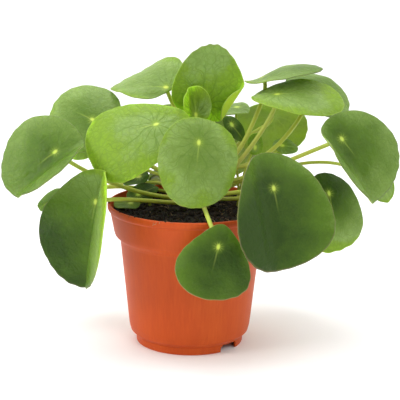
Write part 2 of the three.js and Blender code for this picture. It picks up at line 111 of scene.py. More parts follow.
# hub and lean set the hub off the middle of the blade, taper narrows its tip and square fills out
# its corners. droop bends the left, right, tip and base sides down, and fold folds the left and
# right sides down over a width of crease; both go up where they are negative. curl rolls one side
# up: its direction, start, radius and angle. root is the petiole's share of the way up the stem,
# pulls what it bends towards, and reach how far under the hub it turns. tone runs from 0, a dark
# old leaf, to 1, a young bright one; each leaf's value is partly its own green and partly painted
# light and shade. lighter paints light and shade on the blade: tone grows by it
# towards the tip and across. dry browns the margin and brown the petiole. Angles are in degrees.
LEAVES = {
    "far_left": row((-96, -18, 143), (-18, 28, -46), 66, 68, hub=0.34, lean=0.04, taper=0.1,
        square=-0.04, fold=(-40, 0), crease=18, droop=(0, 5, 12, 15), root=0.33,
        pulls=((-30, -5, 101), (-62, -12, 118)), tone=0.34, lighter=(0, 0.1)),
    "rear_left": row((-72.5, 28, 157.5), (-15, 38, -112), 58, 57, hub=0.36, droop=(15, 20, 25, 20),
        root=0.53, pulls=((-10, 8, 110), (-42, 24, 128)), tone=0.5),
    "mid_left": row((-25, -20, 164), (-10, 45, -70), 78, 58, hub=0.38, lean=-0.12, taper=-0.38,
        droop=(20, 15, 25, 10), root=0.61, pulls=((-6, -6, 138),), tone=0.77),
    "upper_left": row((-19, 22, 183), (-15, 45, -90), 58, 48, hub=0.6, lean=0.5, taper=0.05,
        square=-0.08, fold=(20, 0), droop=(-45, 10, 15, 14), twist=25, root=0.74,
        pulls=((-8, 26, 152),), tone=0.62, lighter=(-0.05, 0)),
    "crown": row((10, 12, 172), (-5, 0, 176), 56, 51, hub=0.6, lean=0.06, taper=0.3,
        curl=(118, 12.8, 2.2, 150), droop=(-10, -5, -5, 0), root=0.93, pulls=((16, 20, 158),),
        young=True, tone=0.95, lighter=(-0.3, 0.1)),
    "crown_small": row((3, 4, 166.5), (0, 10, 185), 26, 24, hub=0.6, fold=(-38, -8), crease=5,
        droop=(-15, -15, -15, 0), root=0.86, reach=8, pulls=((8, 7, 150),), small=True, young=True,
        tone=0.88, lighter=(0, -0.3)),
    "front": row((5, -45, 156.5), (0, 22, -4), 63, 55, hub=0.44, droop=(12, 12, 12, 12), root=0.64,
        pulls=((12, -14, 138),), tone=0.61, lighter=(-0.02, 0)),
    "low_left": row((-66.5, -38, 112), (-15, 14, -6), 84, 78, hub=0.46, taper=-0.1, square=-0.06,
        fold=(-55, 0), crease=4, droop=(-8, 2, 12, 10), root=0.26,
        pulls=((-30, -18, 106), (-55, -26, 116)), tone=0.56, lighter=(-0.38, -0.42)),
    "over_rim": row((19, -72, 90), (-5, 15, -12), 53, 50, taper=-0.42, square=-0.03,
        droop=(10, 15, 10, 20), root=0.3, reach=5,
        pulls=((6, -34, 112), (9, -61, 118), (14, -67, 105)), tone=0.17, lighter=(-0.1, 0.1),
        dry=0.9),
    "low_right": row((56, -66, 130), (12, 18, 8), 81, 74, hub=0.38, lean=-0.02, taper=-0.3,
        fold=(0, -26), crease=18, droop=(10, 0, 10, 15), root=0.44,
        pulls=((30, -22, 114), (42, -40, 124)), tone=0.13, lighter=(-0.12, -0.18), dry=0.25),
    "side_right": row((99, -5, 112), (25, 20, 4), 58, 50, hub=0.46, taper=-0.25, square=0.05,
        droop=(15, 15, 15, 15), root=0.36, pulls=((45, 0, 108),), tone=0.14, lighter=(0.4, 0)),
    "far_right": row((105, -24, 156), (18, 22, 34), 68, 68, hub=0.5, lean=-0.1, taper=-0.1,
        square=0, fold=(0, -42), crease=22, droop=(20, -5, 15, 0), root=0.6,
        pulls=((45, 2, 122), (75, -4, 139)), tone=0.36),
    "upper_right": row((60.5, 4, 182), (-25, 75, 112), 68, 46, hub=0.46, droop=(10, 10, 32, 5),
        twist=14, root=0.7, pulls=((38, 0, 138), (50, 3, 155)), tone=0.66, brown=0.4),
    "top_right": row((51, 26, 190.5), (262, 60, 180), 58, 40, hub=0.55, taper=-0.1,
        droop=(14, 14, 42, -30), twist=4, root=0.84, pulls=((40, 10, 148), (47, 18, 168)),
        tone=0.62, lighter=(-0.3, 0)),
    "rear_right": row((91, 46, 180), (40, 60, 20), 52, 53, hub=0.18, droop=(15, 15, 20, 15),
        root=0.76, pulls=((60, 6, 128), (80, 30, 156)), tone=0.36),
    "mid_right": row((60, 64, 155), (180, 32, 0), 54, 56, droop=(15, 15, 15, 15), root=0.8,
        pulls=((33, 27, 144), (47, 43, 149)), tone=0.6, brown=0.2),
    "inner_right": row((33, 40, 165.5), (0, 80, -80), 28, 26, hub=0.3, root=0.9,
        pulls=((30, 26, 152),), small=True, tone=0.6, brown=0.3),
    "under_left": row((-99, 24, 99.5), (-30, 20, -55), 28, 15, hub=0.3, square=-0.05, root=0.29,
        pulls=((-20, 22, 107), (-60, 34, 118)), small=True, tone=0.3),
    "inner_left": row((-76, 48, 142), (-20, 30, -60), 36, 34, hub=0.3, root=0.46,
        pulls=((-24, 19, 114), (-55, 45, 122)), small=True, tone=0.75),
    "under_right": row((139, 25, 114), (30, 25, 20), 24, 22, hub=0.35, root=0.52,
        pulls=((50, 8, 120), (105, 16, 160)), small=True, tone=0.6),
    "back_left": row((-30, 70, 152), (205, 45, 0), 60, 58, droop=(20, 15, 20, 15), root=0.66,
        pulls=((2, 30, 134),), tone=0.45),
    "back_middle": row((25, 92, 138), (165, 35, 10), 64, 58, droop=(15, 25, 20, 15), root=0.56,
        pulls=((20, 35, 122), (22, 60, 130)), tone=0.35),
    "back_low_left": row((-82, 62, 96), (230, 20, -10), 50, 46, droop=(15, 15, 20, 20), root=0.38,
        pulls=((-12, 28, 107), (-50, 46, 122)), small=True, tone=0.2, dry=0.5),
    "back_low_right": row((78, 72, 104), (130, 20, 10), 60, 56, droop=(20, 15, 20, 15), root=0.42,
        pulls=((35, 26, 112), (58, 54, 120)), small=True, tone=0.3),
    "back_low": row((5, 85, 112), (190, 15, 0), 56, 54, droop=(15, 15, 10, 15), root=0.36,
        pulls=((8, 40, 112),), small=True, tone=0.25),
}

SHOOTS = {
    "shoot_left": dict(foot=(-30, 13, 86), tip=(-30, 13, 103), leaves=(
        row((-38, 4, 107.5), (20, 40, 110), 26, 14, tone=0.12),
        row((-38, 15, 118), (-20, 50, -75), 21, 14, tone=0.2),
        row((-43, -9, 104), (-20, 60, -85), 20, 11, tone=0.45),
    )),
    "shoot_back": dict(foot=(-12, 44, 86), tip=(-12, 45, 103), leaves=(
        row((-20, 58, 112), (200, 45, 10), 26, 23, tone=0.4),
        row((-2, 60, 109), (160, 40, -10), 20, 18, tone=0.5),
        row((-25, 46, 113), (240, 55, 0), 15, 13, tone=0.3),
    )),
    "shoot_right": dict(foot=(34, 12, 86), tip=(35, 12, 106), leaves=(
        row((46, 14, 141), (10, 20, 175), 16, 12, droop=(-10, -10, 0, 0), tone=0.75),
        row((66, 24, 140.5), (20, 45, 80), 20, 13, tone=0.6),
        row((29, 17, 157), (10, 25, 35), 22, 12, tone=0.1),
    )),
}


# ---- mesh tools

def linked(name, data):
    """A new object of the scene."""
    thing = bpy.data.objects.new(name, data)
    bpy.context.scene.collection.objects.link(thing)
    return thing


def mesh_object(name, points, faces, node, slot_name, materials, face_materials=None):
    """A smooth-shaded object at the origin with its points, given in mm, in its mesh."""
    mesh = bpy.data.meshes.new(name)
    mesh.from_pydata((np.array(points, float) * MM).tolist(), [], faces)
    for material in materials:
        mesh.materials.append(material)
    if face_materials is not None:
        mesh.polygons.foreach_set("material_index", np.array(face_materials, np.int32))
    mesh.polygons.foreach_set("use_smooth", np.ones(len(mesh.polygons), bool))
    mesh.update()
    piece = linked(name, mesh)
    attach(piece, "root")
    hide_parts(node)
    return piece


BLANK = [[0.5, 0.5, 0.5, 0.5, 0.0, 0.0]]


class Parts:
    """Collects meshes that become one object, with the values that the materials read."""

    def __init__(self):
        self.points, self.faces, self.materials, self.columns = [], [], [], []
        self.count = 0

    def add(self, points, faces, material, columns=BLANK):
        """columns holds one row for each point, or a single row for all of them."""
        self.points.append(np.array(points, float))
        self.faces += [tuple(index + self.count for index in face) for face in faces]
        if np.isscalar(material):
            material = [material] * len(faces)
        self.materials += list(material)
        self.columns.append(np.broadcast_to(columns, (len(points), len(columns[0]))))
        self.count += len(points)

    def object(self, name, node, slot_name, materials):
        """Columns 0 and 1 become the UV map, and the others a named number on each point."""
        points, columns = np.concatenate(self.points), np.concatenate(self.columns)
        piece = mesh_object(name, points, self.faces, node, slot_name, materials, self.materials)
        corners = np.empty(len(piece.data.loops), np.int32)
        piece.data.loops.foreach_get("vertex_index", corners)
        layer = piece.data.uv_layers.new(name="plane")
        layer.data.foreach_set("uv", columns[:, 0:2].astype(np.float32)[corners].ravel())
        for label, values in zip(("rho", "tone", "dry", "grain"), columns.T[2:]):
            attribute = piece.data.attributes.new(label, "FLOAT", "POINT")
            attribute.data.foreach_set("value", values.astype(np.float32))


def unit(vector):
    return vector / np.linalg.norm(vector)


def polar(radius, turn, z=0.0):
    """A point at a radius and an angle round the pot's axis."""
    return radius * cos(turn), radius * sin(turn), z


def ring_turns(sides):
    return np.arange(sides) * 2 * pi / sides


def ring_faces(rings, sides, first=0):
    """Quads between rings of points, the first of which has the index first."""
    faces = []
    for low in range(first, first + (rings - 1) * sides, sides):
        for i in range(sides):
            after = (i + 1) % sides
            faces.append((low + i, low + after, low + sides + after, low + sides + i))
    return faces


def pulled_curve(points, t):
    """Points at the shares t of a smooth curve that ends at the first and last points."""
    pulls = [np.array(point, float)[None, :] for point in points]
    t = np.array(t, float)[:, None]
    while len(pulls) > 1:
        pulls = [a * (1 - t) + b * t for a, b in zip(pulls, pulls[1:])]
    return pulls[0]


def stem_axis(*shares):
    """Points of the stem's axis, at shares of the way up."""
    return pulled_curve(STEM_PULLS, shares)


def side_frames(points):
    """Two directions square to a path at each of its points, which turn as little as they can."""
    steps = np.gradient(points, axis=0)
    along = steps / np.linalg.norm(steps, axis=1)[:, None]
    steep = abs(along[0, 2]) >= 0.9
    start = np.array([1.0, 0.0, 0.0]) if steep else np.array([0.0, 0.0, 1.0])
    side = start - along[0] * along[0].dot(start)
    rows = []
    for direction in along:
        side = unit(side - direction * direction.dot(side))
        rows.append(side)
    first = np.array(rows)
    return first, np.cross(along, first)


def add_tube(parts, points, radii, sides, material, tone, dry, seed):
    """A closed tube along a path, with a radius for each point or for each point and side."""
    first, second = side_frames(points)
    turns = ring_turns(sides)
    radii = np.array(radii, float)
    if radii.ndim == 1:
        radii = radii[:, None] * np.ones(sides)
    ring = (first[:, None, :] * np.cos(turns)[None, :, None]
            + second[:, None, :] * np.sin(turns)[None, :, None])
    skin = (points[:, None, :] + ring * radii[:, :, None]).reshape(-1, 3)
    steps = len(points)
    faces = ring_faces(steps, sides)
    faces.append(tuple(range(sides))[::-1])
    faces.append(tuple((steps - 1) * sides + side for side in range(sides)))
    lengths = np.concatenate(([0.0], np.cumsum(np.linalg.norm(np.diff(points, axis=0), axis=1))))
    along = np.repeat(lengths, sides)
    around = np.tile(np.abs(turns / pi - 1), steps)
    columns = np.stack((around, along / 100, along / along.max(), np.full(len(skin), tone),
                        np.full(len(skin), dry), np.full(len(skin), seed % 5)), -1)
    parts.add(skin, faces, material, columns)


def smoothstep(value, low, high):
    share = np.clip((value - low) / (high - low), 0, 1)
    return share * share * (3 - 2 * share)


# ---- leaf forms

TOOTH_SPACING = 9.0
TOOTH_DEPTH = 0.2
HUB_DIP = 0.5
HUB_DIP_RADIUS = 4.0
# a fold leaves this much flat beside the midrib
FLAT_HALF_WIDTH = 2
PLANE_SPAN = 160.0
# how far a petiole's ends go into the stem and the blade
STEM_BITE = 1.4
HUB_BITE = 0.75
STRAIGHT_START = 6.7


def leaf_axes(face):
    """Across, towards the tip, and out of the upper face, as rows."""
    azimuth, rise, spin = (radians(angle) for angle in face)
    level = np.array([sin(azimuth), -cos(azimuth), 0.0])
    up = np.array([0.0, 0.0, 1.0])
    normal = level * cos(rise) + up * sin(rise)
    down = level * sin(rise) - up * cos(rise)
    tip = down * cos(spin) + np.cross(normal, down) * sin(spin)
    return np.array([np.cross(tip, normal), tip, normal])


def arc(s, turn):
    """How far out and how far down a point lies after an arc of length s."""
    turn = np.where(np.abs(turn) < 1e-7, 1e-7, turn)
    return np.sin(turn * s) / turn, (1 - np.cos(turn * s)) / turn


def blade_plane(leaf, rho, theta):
    """Flat place of a point of the blade, from the hub: across and towards the tip."""
    half, half_width = leaf["length"] / 2, leaf["width"] / 2
    square = leaf["square"] * np.sin(2 * theta) ** 2
    wobble = 1 + 0.012 * np.sin(3 * theta) + 0.008 * np.sin(5 * theta) + square
    taper = 1 - leaf["taper"] * np.cos(theta)
    u = rho * half_width * (leaf["lean"] + np.sin(theta) * taper * wobble)
    v = rho * half * (leaf["hub"] + np.cos(theta) * wobble)
    return u, v


def curled(leaf, u, v):
    """Rolls the margin on one side over the upper face: the place it comes to, and its rise."""
    if leaf["curl"] is None:
        return u, v, 0 * u
    direction, start, radius, angle = leaf["curl"]
    across, along = sin(radians(direction)), cos(radians(direction))
    past = np.maximum(0, u * across + v * along - start)
    turn = np.minimum(past / radius, radians(angle))
    straight = past - turn * radius
    out = radius * np.sin(turn) + straight * np.cos(turn)
    rise = radius * (1 - np.cos(turn)) + straight * np.sin(turn)
    return u + across * (out - past), v + along * (out - past), rise


def blade_surface(leaf, rho, theta, seed):
    """The blade's middle surface, with z out of the upper face, and its flat place."""
    half, half_width = leaf["length"] / 2, leaf["width"] / 2
    offset = leaf["hub"] * half
    left, right, tip, base = leaf["droop"]
    fold_left, fold_right = leaf["fold"]
    flat_u, flat_v = blade_plane(leaf, rho, theta)
    u, v, rise = curled(leaf, flat_u, flat_v)

    flat_out, flat_down = arc(np.abs(u), np.radians(np.where(u < 0, left, right)) / half_width)
    creased = smoothstep(np.abs(u), FLAT_HALF_WIDTH, FLAT_HALF_WIDTH + leaf["crease"])
    fold = np.radians(np.where(u < 0, fold_left, fold_right)) * creased
    out = flat_out * np.cos(fold) - flat_down * np.sin(fold)
    dip = flat_out * np.sin(fold) + flat_down * np.cos(fold)

    turn = np.radians(np.where(v < 0, base, tip)) / np.where(v < 0, half - offset, half + offset)
    along, sag = arc(np.abs(v), turn)
    lean = turn * np.abs(v)
    ripple = rho ** 3 * np.sin(3 * theta)
    x = np.sign(u) * out
    y = np.sign(v) * (along - dip * np.sin(lean))
    z = rise + ripple - sag - dip * np.cos(lean)
    twist = radians(leaf["twist"]) * v / half
    x, z = x * np.cos(twist) + z * np.sin(twist), z * np.cos(twist) - x * np.sin(twist)

    teeth = round(pi * (half + half_width) / TOOTH_SPACING)
    uneven = 0.6 + 0.4 * np.sin(2 * theta + 2 * seed)
    scallop = TOOTH_DEPTH / half_width * uneven * rho ** 12 * np.sin(teeth * theta + seed)
    x, y = x * (1 + scallop), y * (1 + scallop)
    size = half_width / 30
    waves = 0.32 * np.sin(7 * theta + seed) + 0.2 * np.sin(11 * theta + 2 * seed)
    z = z + size * rho ** 5 * waves
    z = z - HUB_DIP * size * np.exp(-((u ** 2 + v ** 2) / (HUB_DIP_RADIUS * size) ** 2))
    return np.stack([x, y, z], -1), flat_u, flat_v


def add_blade(parts, leaf, sides, rings, thickness, seed):
    """A blade with a rounded margin; the upper skin has material 0 and the lower one 1."""
    lip = 0.5 * thickness / (leaf["width"] / 2)
    inner = np.sin(np.linspace(0, 1, rings + 1)[1:] * pi / 2) * (1 - lip)
    rounding = np.radians([22, 45, 67])
    rhos = np.concatenate((inner, 1 - lip * (1 - np.sin(rounding)), [1.0]))
    heights = np.concatenate((np.full(rings, 1.0), np.cos(rounding), [0.0])) * thickness / 2
    rho = np.concatenate(([0.0], np.repeat(rhos, sides)))
    theta = np.concatenate(([0.0], np.tile(ring_turns(sides), len(rhos))))
    height = np.concatenate(([thickness / 2], np.repeat(heights, sides)))
    middle, u, v = blade_surface(leaf, rho, theta, seed)

    faces = [(0, 1 + (i + 1) % sides, 1 + i) for i in range(sides)]
    faces += ring_faces(len(rhos), sides, first=1)
    normals = np.zeros_like(middle)
    for face in faces:
        corners = middle[list(face)]
        normals[list(face)] += np.cross(corners[1] - corners[0], corners[2] - corners[0])
    normals /= np.linalg.norm(normals, axis=1)[:, None]

    count = len(middle)
    rim = count - sides
    lower = (middle - normals * height[:, None])[:rim]
    points = np.concatenate((middle + normals * height[:, None], lower))
    under = [tuple(index if index >= rim else count + index for index in face[::-1])
             for face in faces]
    across, tip, normal = leaf_axes(leaf["face"])
    placed = (np.array(leaf["at"], float) + points[:, 0:1] * across + points[:, 1:2] * tip
              + points[:, 2:3] * normal)

    # painted light and shade: the tone is made brighter or darker towards the tip and across the
    # blade
    to_tip, sideways = leaf["lighter"]
    plane = np.stack((u, v), -1)
    painted_shade_rates = np.array((sideways / leaf["width"], to_tip / leaf["length"]))
    extra = np.broadcast_to([leaf["dry"], seed % 5], (count, 2))
    columns = np.concatenate((plane / PLANE_SPAN + 0.5, rho[:, None],
                              (leaf["tone"] + 2 * plane @ painted_shade_rates)[:, None], extra), 1)
    columns = np.concatenate((columns, columns[:rim]))
    parts.add(placed, faces + under, [0] * len(faces) + [1] * len(faces), columns)


def petiole_path(leaf, steps):
    """From inside the stem's skin to just inside the blade's underside."""
    before, root, after = stem_axis(leaf["root"] - 0.001, leaf["root"], leaf["root"] + 0.001)
    grain = unit(after - before)
    outward = np.array(leaf["pulls"][0], float) - root
    outward = unit(outward - grain * outward.dot(grain))
    start = root + outward * (STEM_RADIUS - STEM_BITE)
    normal = leaf_axes(leaf["face"])[2]
    hub = np.array(leaf["at"], float)
    points = (start, start + outward * STRAIGHT_START, *leaf["pulls"],
              hub - normal * leaf["reach"], hub - normal * HUB_BITE)
    return pulled_curve(points, np.linspace(0, 1, steps))


# ---- materials

class Signal:
    """A value inside a node tree; arithmetic on it adds nodes."""

    def __init__(self, shade, socket):
        self.shade, self.socket = shade, socket

    def __add__(self, other):
        return self.shade.math("ADD", self, other)

    def __sub__(self, other):
        return self.shade.math("SUBTRACT", self, other)

    def __mul__(self, other):
        return self.shade.math("MULTIPLY", self, other)

    def __abs__(self):
        return self.shade.math("ABSOLUTE", self)

    def most(self, other):
        return self.shade.math("MAXIMUM", self, other)

    def step(self, low, high, start=0.0, end=1.0):
        """Eases from start to end while this value goes from low to high."""
        inputs = {0: self, 1: low, 2: high, 3: start, 4: end}
        return self.shade.node("MapRange", inputs, interpolation_type="SMOOTHSTEP")

    def fade(self, low, high, start=1.0, end=0.0):
        return self.step(low, high, start, end)


class Shade:
    """Builds the node tree of a material, or of the sky."""

    def __init__(self, owner):
        owner.use_nodes = True
        self.owner, self.tree = owner, owner.node_tree

    def feed(self, socket, value):
        """Links a signal to a socket, or sets its constant; a colour is red, green and blue."""
        if isinstance(value, Signal):
            self.tree.links.new(value.socket, socket)
        elif socket.type == "RGBA":
            socket.default_value = (*value, 1.0)
        else:
            socket.default_value = value

    def node(self, kind, inputs=(), output=0, **settings):
        node = self.tree.nodes.new("ShaderNode" + kind)
        for key, value in settings.items():
            setattr(node, key, value)
        for key, value in dict(inputs).items():
            self.feed(node.inputs[key], value)
        return Signal(self, node.outputs[output])

    def math(self, operation, *values):
        return self.node("Math", enumerate(values), operation=operation)

    def vector(self, operation, *values, output=0):
        return self.node("VectorMath", enumerate(values), output, operation=operation)

    def number(self, name):
        return self.node("Attribute", output="Fac", attribute_name=name)

    def place(self):
        """Where the shaded point is in the object, in metres."""
        return self.node("TexCoord", output="Object")

    def noise(self, vector, scale, detail=3.0, rough=0.5, output=0):
        inputs = {"Vector": vector, "Scale": scale, "Detail": detail, "Roughness": rough}
        return self.node("TexNoise", inputs, output)

    def cells(self, vector, scale):
        """How far a point is from the nearest border between cells."""
        inputs = {"Vector": vector, "Scale": scale}
        return self.node("TexVoronoi", inputs, "Distance", feature="DISTANCE_TO_EDGE")

    def mix(self, share, first, second):
        return self.node("Mix", {0: share, 6: first, 7: second}, 2, data_type="RGBA")

    def ramp(self, value, *stops):
        result = self.node("ValToRGB", {0: value})
        places = result.socket.node.color_ramp.elements
        while len(places) < len(stops):
            places.new(0.5)
        for place, (at, *colour) in zip(places, stops):
            place.position = at
            place.color = (*colour, 1)
        return result

    def finish(self, colour, roughness, specular, relief=None, **others):
        """relief is a height and its depth in mm; other names are inputs, with _ for spaces."""
        values = {"Base Color": colour, "Roughness": roughness, "Specular IOR Level": specular}
        if relief:
            height, depth = relief
            values["Normal"] = self.node("Bump", {"Distance": depth * MM, "Height": height})
        values.update((name.replace("_", " "), value) for name, value in others.items())
        for name, value in values.items():
            self.feed(self.tree.nodes["Principled BSDF"].inputs[name], value)
        return self.owner


def material(name):
    return Shade(bpy.data.materials.new(name))


MAIN_VEINS = 11
VEIN_SPACING = 2 * pi / MAIN_VEINS
GRAIN_STEP = 31.0
LEAF_SCATTER = dict(Subsurface_Weight=0.5, Subsurface_Scale=0.0024,
                    Subsurface_Radius=(0.6, 1.0, 0.12))


def blade_signals(shade):
    """What both sides of a blade share, in mm from the hub, with its veins and its net."""
    plane = shade.vector("SUBTRACT", shade.node("UVMap", uv_map="plane"), (0.5, 0.5, 0))
    flat = shade.vector("MULTIPLY", plane, (PLANE_SPAN, PLANE_SPAN, 0))
    across, ahead = (shade.node("SeparateXYZ", {0: flat}, axis) for axis in (0, 1))
    layer = shade.node("CombineXYZ", {2: shade.number("grain") * GRAIN_STEP})
    place = shade.vector("ADD", flat, layer)
    reach = shade.vector("LENGTH", flat, output="Value")
    rho, tone = shade.number("rho"), shade.number("tone")
    turn = shade.math("ARCTAN2", across, ahead)

    wander = shade.noise(place, 0.07, 2.0) - 0.5
    angle = turn + rho * 0.3 * shade.math("SINE", turn) + wander * 0.9
    offset = abs(shade.math("FRACT", angle * (1 / VEIN_SPACING)) - 0.5)
    spacing = reach * VEIN_SPACING
    main = (offset * spacing).fade(0.1, 0.62) * rho.fade(0.3, 1.0, 1.0, 0.45)
    apart = abs(offset - rho.step(0.15, 1.05) * 0.3)
    fork = (apart * spacing).fade(0.1, 0.55, 0.7) * rho.step(0.2, 0.35)
    shift = shade.vector("MULTIPLY", shade.noise(place, 0.2, 2.0, output=1), (5.0, 5.0, 0.0))
    bent = shade.vector("ADD", place, shift)
    areoles = shade.cells(bent, 0.2)
    fine = shade.cells(bent, 0.55).fade(0.02, 0.18, 0.4)
    net = areoles.fade(0.02, 0.16).most(fine)
    rib = abs(across).fade(0.15, 0.8) * ahead.step(0.0, 1.0) * ahead.fade(2.0, 20.0)
    oval = shade.vector("MULTIPLY", flat, (1.0, 0.6, 0))
    return SimpleNamespace(
        place=place, reach=reach, rho=rho, tone=tone, dry=shade.number("dry"), main=main, rib=rib,
        hub=shade.vector("LENGTH", oval, output="Value"), veins=main.most(fork).most(net * 0.42),
        relief=areoles.step(0.0, 0.45) - rib * 0.6, clouds=shade.noise(place, 0.045) - 0.5)


def leaf_upper():
    shade = material("leaf_upper")
    blade = blade_signals(shade)
    tone, reach, rho = blade.tone, blade.reach, blade.rho
    specks = shade.noise(blade.place, 0.9, 3.0, 0.6) - 0.5
    # painted shade and light: the rho * rho term darkens the blade round the hub and brightens it
    # towards the margin
    shown = tone + blade.clouds * 0.5 + (rho * rho - 0.45) * 0.27 + specks * 0.16
    # the greyer stops at 0.52 and 0.66 are a painted sheen on the leaves of those tones, and the
    # bright stop at 1.0 is painted light on the crown's shaded base
    green = shade.ramp(shown, (0.0, 0.024, 0.058, 0.002), (0.3, 0.088, 0.170, 0.008),
                       (0.52, 0.180, 0.280, 0.054), (0.66, 0.238, 0.350, 0.088),
                       (0.76, 0.205, 0.330, 0.020), (0.9, 0.220, 0.365, 0.012),
                       (1.0, 0.360, 0.620, 0.018))
    vein_green = shade.ramp(tone, (0.0, 0.038, 0.080, 0.006), (0.3, 0.060, 0.115, 0.010),
                            (0.6, 0.112, 0.195, 0.022), (1.0, 0.110, 0.230, 0.007))
    colour = shade.mix(blade.veins * tone.step(0.3, 0.7, 0.45, 0.8), green, vein_green)
    colour = shade.mix(reach.fade(0.8, 6.0, 0.25), colour, (0.30, 0.44, 0.04))
    rays = (blade.main * reach.fade(1.2, 5.0, 0.2)).most(blade.rib * 0.2)
    spot = (blade.hub - blade.main * 0.3).fade(0.3, 1.7, 0.9)
    colour = shade.mix(rays.most(spot), colour, (0.62, 0.76, 0.12))
    pale = shade.ramp(tone, (0.1, 0.10, 0.10, 0.05), (0.4, 0.13, 0.14, 0.06),
                      (0.7, 0.34, 0.46, 0.06))
    margin = shade.mix(blade.dry, pale, (0.36, 0.22, 0.11))
    colour = shade.mix(rho.step(0.974, 0.99, 0.0, 0.6), colour, margin)
    height = blade.relief * 0.3 + shade.noise(blade.place, 0.35, 4.0, 0.6) * 0.7
    roughness = shade.noise(blade.place, 0.4) * 0.16 + 0.36
    return shade.finish(colour, roughness, 0.22, (height, 0.7), **LEAF_SCATTER)


def leaf_under():
    shade = material("leaf_under")
    blade = blade_signals(shade)
    specks = shade.noise(blade.place, 1.1, 3.0, 0.6) - 0.5
    shown = blade.tone + blade.clouds * 0.9 + specks * 0.14
    green = shade.ramp(shown, (0.0, 0.150, 0.225, 0.035), (0.5, 0.250, 0.360, 0.045),
                       (1.0, 0.430, 0.600, 0.025))
    light = shade.ramp(blade.tone, (0.3, 0.30, 0.40, 0.10), (0.8, 0.43, 0.57, 0.06))
    colour = shade.mix(blade.veins * 0.5, green, light)
    colour = shade.mix(blade.reach.fade(1.0, 9.0, 0.6), colour, (0.42, 0.52, 0.10))
    margin = shade.mix(blade.dry, (0.30, 0.40, 0.09), (0.42, 0.25, 0.14))
    colour = shade.mix(blade.rho.step(0.975, 0.992, 0.0, 0.7), colour, margin)
    height = shade.noise(blade.place, 0.6, 4.0, 0.6) * 0.4 - blade.relief * 0.35
    roughness = shade.noise(blade.place, 0.5) * 0.14 + 0.46
    return shade.finish(colour, roughness, 0.3, (height, 0.6), **LEAF_SCATTER)


def petiole_skin():
    """Streaks along the stalk, which grows brighter towards the blade; dry browns its foot."""
    shade = material("petiole_skin")
    plane = shade.vector("MULTIPLY", shade.node("UVMap", uv_map="plane"), (7.0, 14.0, 0.0))
    streaks = shade.noise(plane, 1.0, 4.0, 0.6)
    spots = shade.noise(shade.place(), 420.0, 3.0, 0.6)
    share = shade.number("rho") + (streaks - 0.5) * 0.4
    colour = shade.ramp(share, (0.0, 0.34, 0.36, 0.08), (0.12, 0.46, 0.51, 0.06),
                        (0.6, 0.47, 0.55, 0.05), (1.0, 0.50, 0.63, 0.08))
    colour = shade.mix(shade.number("dry") * share.fade(0.0, 1.0, 1.0, 0.5), colour,
                       (0.30, 0.25, 0.09))
    colour = shade.mix(spots.step(0.62, 0.72, 0.0, 0.35), colour, (0.16, 0.15, 0.05))
    return shade.finish(colour, spots * 0.2 + 0.38, 0.45, (streaks + spots * 0.4, 0.15),
                        Subsurface_Weight=0.1, Subsurface_Scale=0.002)


def stem_bark():
    shade = material("stem_bark")
    place = shade.place()
    patches = shade.noise(place, 160.0, 4.0, 0.6)
    flattened = shade.vector("MULTIPLY", place, (1, 1, 0.45))
    cracks = shade.cells(flattened, 520.0).fade(0.02, 0.14)
    colour = shade.ramp(patches, (0.3, 0.105, 0.072, 0.030), (0.5, 0.190, 0.175, 0.060),
                        (0.7, 0.240, 0.270, 0.080))
    colour = shade.mix(cracks * 0.6, colour, (0.06, 0.04, 0.02))
    return shade.finish(colour, 0.68, 0.3, (patches - cracks * 0.5, 0.5))


def dry_skin(name, dark, light, scale, roughness):
    shade = material(name)
    patches = shade.noise(shade.place(), scale, 4.0, 0.65)
    colour = shade.ramp(patches, (0.32, *dark), (0.68, *light))
    return shade.finish(colour, roughness, 0.25, (patches, 0.3))


def peat():
    shade = material("peat")
    place = shade.place()
    clods = shade.noise(place, 130.0, 4.0, 0.6)
    share = shade.noise(place, 900.0, 5.0, 0.7) * 0.6 + clods * 0.4
    colour = shade.ramp(share, (0.32, 0.005, 0.004, 0.003), (0.5, 0.014, 0.010, 0.007),
                        (0.62, 0.034, 0.024, 0.015), (0.75, 0.085, 0.060, 0.036))
    return shade.finish(colour, clods * -0.3 + 1.0, 0.3, (share, 1.6))


def pot_plastic():
    """Orange plastic with upright streaks, soil dust on the rim and scuffs at the foot."""
    shade = material("pot_plastic")
    place = shade.place()
    height = shade.node("SeparateXYZ", {0: place}, 2)
    streaks = shade.noise(shade.vector("MULTIPLY", place, (1.0, 1.0, 0.02)), 700.0, 3.0, 0.6)
    bands = shade.noise(shade.vector("MULTIPLY", place, (1.0, 1.0, 0.12)), 60.0)
    share = streaks * 0.35 + (bands * 0.35 + shade.noise(place, 24.0) * 0.3)
    colour = shade.ramp(share, (0.35, 0.480, 0.064, 0.007), (0.5, 0.530, 0.076, 0.009),
                        (0.65, 0.585, 0.096, 0.012))
    dusty = height.step((POT_HEIGHT - 7) * MM, (POT_HEIGHT + 0.5) * MM)
    dust = shade.noise(place, 210.0, 4.0, 0.7) * dusty
    colour = shade.mix(dust.step(0.52, 0.66, 0.0, 0.6), colour, (0.10, 0.050, 0.026))
    scuffs = shade.noise(place, 330.0, 4.0, 0.7) * height.fade(0.0, 12 * MM)
    colour = shade.mix(scuffs.step(0.5, 0.7, 0.0, 0.4), colour, (0.62, 0.20, 0.09))
    relief = streaks * 0.6 + shade.noise(place, 2600.0, 2.0) * 0.4
    return shade.finish(colour, streaks * 0.16 + 0.42, 0.2, (relief, 0.08),
                        Subsurface_Weight=0.05, Subsurface_Scale=0.002)


def floor_finish():
    shade = material("floor_finish")
    colour = shade.ramp(shade.noise(shade.place(), 3.0, 2.0), (0.3, 0.95, 0.95, 0.945),
                        (0.7, 0.97, 0.97, 0.965))
    return shade.finish(colour, 0.8, 0.1)


